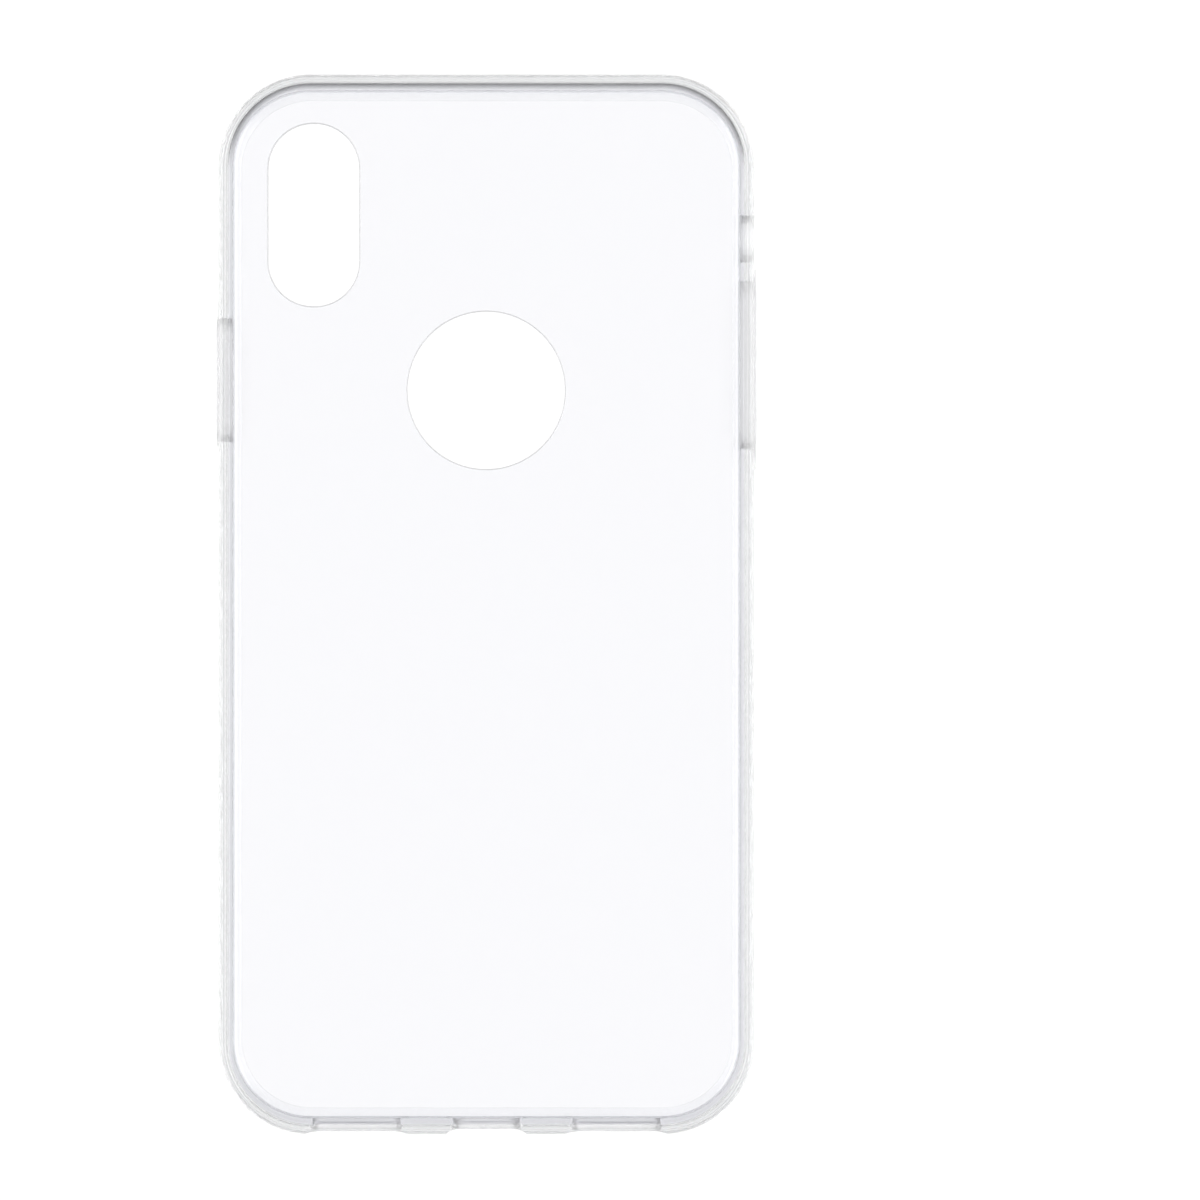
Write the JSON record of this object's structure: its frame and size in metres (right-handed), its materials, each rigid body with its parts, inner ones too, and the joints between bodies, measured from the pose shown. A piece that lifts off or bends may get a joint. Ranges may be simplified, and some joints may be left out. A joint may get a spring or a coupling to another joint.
{
  "type": "phone case",
  "caption": "Slim clear open-front phone case: soft bumper frame, flat back plate with camera and round cut-outs, pressable side button covers and openings for mute switch, port and speakers.",
  "frame": {"origin": "middle of the bounding box, on the plane of the front lip, with the case lying face down", "axes": "+Z out of the back plate, +Y towards the phone's top edge, +X to the right as seen from behind"},
  "size_m": [0.0758, 0.1484, 0.0097],
  "materials": {
    "clear_flexible": "clear flexible polyurethane, glossy, faintly cool, with soft moulding ripple",
    "clear_plate": "clear polished plate, high gloss, very faint cool tint"
  },
  "bodies": {
    "shell": {"bumper_frame": "clear_flexible", "back_panel": "clear_plate"},
    "power_button": {"power_button_cover": "clear_flexible"},
    "volume_up_button": {"volume_up_button_cover": "clear_flexible"},
    "volume_down_button": {"volume_down_button_cover": "clear_flexible"}
  },
  "joints": [
    {"name": "power_button_press", "type": "slide", "parent": "shell", "child": "power_button", "axis": [1, 0, 0], "range_m": [0, 0.0004], "stiffness_N_per_m": 3000},
    {"name": "volume_up_press", "type": "slide", "parent": "shell", "child": "volume_up_button", "axis": [-1, 0, 0], "range_m": [0, 0.0004], "stiffness_N_per_m": 3000},
    {"name": "volume_down_press", "type": "slide", "parent": "shell", "child": "volume_down_button", "axis": [-1, 0, 0], "range_m": [0, 0.0004], "stiffness_N_per_m": 3000}
  ]
}
